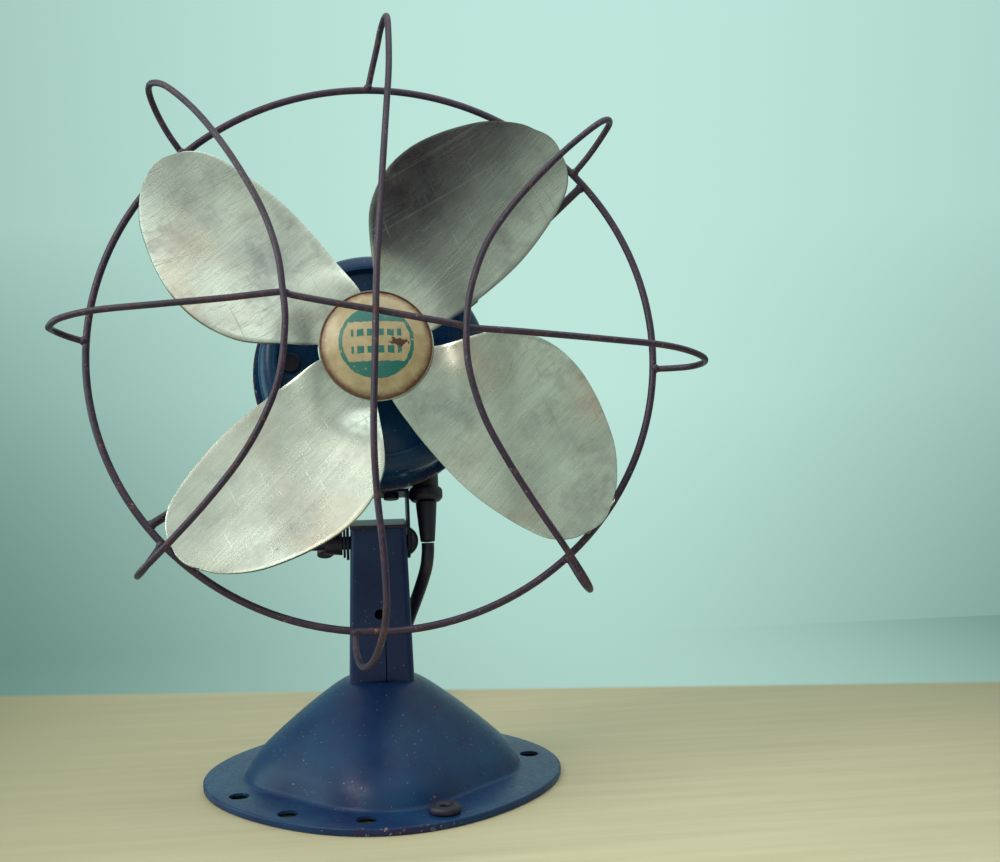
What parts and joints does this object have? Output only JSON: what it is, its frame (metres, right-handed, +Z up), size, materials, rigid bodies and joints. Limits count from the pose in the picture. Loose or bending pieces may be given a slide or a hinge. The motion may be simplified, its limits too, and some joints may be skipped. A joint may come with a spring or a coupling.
{
  "type": "desk fan",
  "caption": "Small tilting desk fan with a stamped base and post, open bent-wire guard, sheet-metal blades and a mains cord.",
  "frame": {"origin": "centre of the base's underside, on the table", "axes": "+Z up, +X to the viewer's right, -Y the way the fan blows"},
  "size_m": [0.227, 0.3085, 0.2843],
  "materials": {
    "base_enamel": "worn teal-blue baked enamel over stamped steel, semi-gloss, chipped at the rim",
    "post_enamel": "worn teal-blue enamel over folded sheet steel, semi-gloss",
    "motor_enamel": "glossy teal-blue enamel over drawn steel, worn to brown at the edges",
    "rubber": "aged black rubber, matt",
    "dark_steel": "darkened steel, dull",
    "plain_steel": "bright zinc-plated steel, slightly dulled",
    "guard_wire": "steel wire with worn dark purple-brown paint and rust",
    "blade_aluminium": "tarnished bare aluminium with fine rolling scratches and brown stains",
    "cap_enamel": "aged cream enamel with teal fields, brown worn rim",
    "core_steel": "bare silicon-steel laminations, oiled",
    "copper_winding": "varnished copper wire, semi-gloss",
    "copper_ring": "bare copper, dulled",
    "bronze": "oil-soaked sintered bronze, dull",
    "felt": "oil-soaked wool felt",
    "splice_cap": "off-white plastic splice cap, satin",
    "cord_jacket": "aged black rubber cord, matt",
    "tie_band": "black rubber band, matt",
    "plug_rubber": "moulded black-brown rubber, matt",
    "brass": "dulled brass"
  },
  "bodies": {
    "stand": {"base_shell": "base_enamel", "foot_grommets": "rubber", "post_tube": "post_enamel", "post_cap": "dark_steel", "post_foot": "core_steel", "foot_rivets": "plain_steel", "pivot_bolt": "dark_steel", "pivot_washer": "dark_steel", "power_cord": "cord_jacket", "cord_hank": "cord_jacket", "hank_tie": "tie_band", "plug_tail": "cord_jacket", "plug_body": "plug_rubber", "plug_blades": "brass"},
    "head": {"tilt_bracket": "motor_enamel", "bracket_screws": "dark_steel", "rear_cover": "motor_enamel", "front_bell": "motor_enamel", "through_bolts": "dark_steel", "bolt_nuts": "dark_steel", "stator_core": "core_steel", "field_coils": "copper_winding", "shading_rings": "copper_ring", "front_bearing": "bronze", "rear_bearing": "bronze", "oil_felts": "felt", "cord_bushing": "rubber", "cord_sleeve": "rubber", "lead_splices": "splice_cap", "guard_ring": "guard_wire", "guard_stays": "guard_wire", "guard_lugs": "guard_wire", "wire_upright": "guard_wire", "wire_level": "guard_wire", "wire_left": "guard_wire", "wire_right": "guard_wire"},
    "rotor": {"motor_shaft": "plain_steel", "rotor_core": "core_steel", "thrust_washers": "brass", "hub_sleeve": "plain_steel", "set_screw": "dark_steel", "blade_spider": "blade_aluminium", "spider_rivets": "blade_aluminium", "hub_cap": "cap_enamel"},
    "nut": {"wing_nut": "dark_steel"}
  },
  "joints": [
    {"name": "head_tilt", "type": "hinge", "parent": "stand", "child": "head", "pos_m": [0, 0, 0.09], "axis": [1, 0, 0], "range_deg": [-25, 30], "deforming": ["power_cord"]},
    {"name": "fan_spin", "type": "hinge", "parent": "head", "child": "rotor", "pos_m": [0, -0.03, 0.16303], "axis": [0, -0.9588, 0.284], "continuous": true},
    {"name": "nut_turn", "type": "hinge", "parent": "stand", "child": "nut", "pos_m": [-0.016, 0, 0.09], "axis": [1, 0, 0], "range_deg": [-360, 360]}
  ]
}
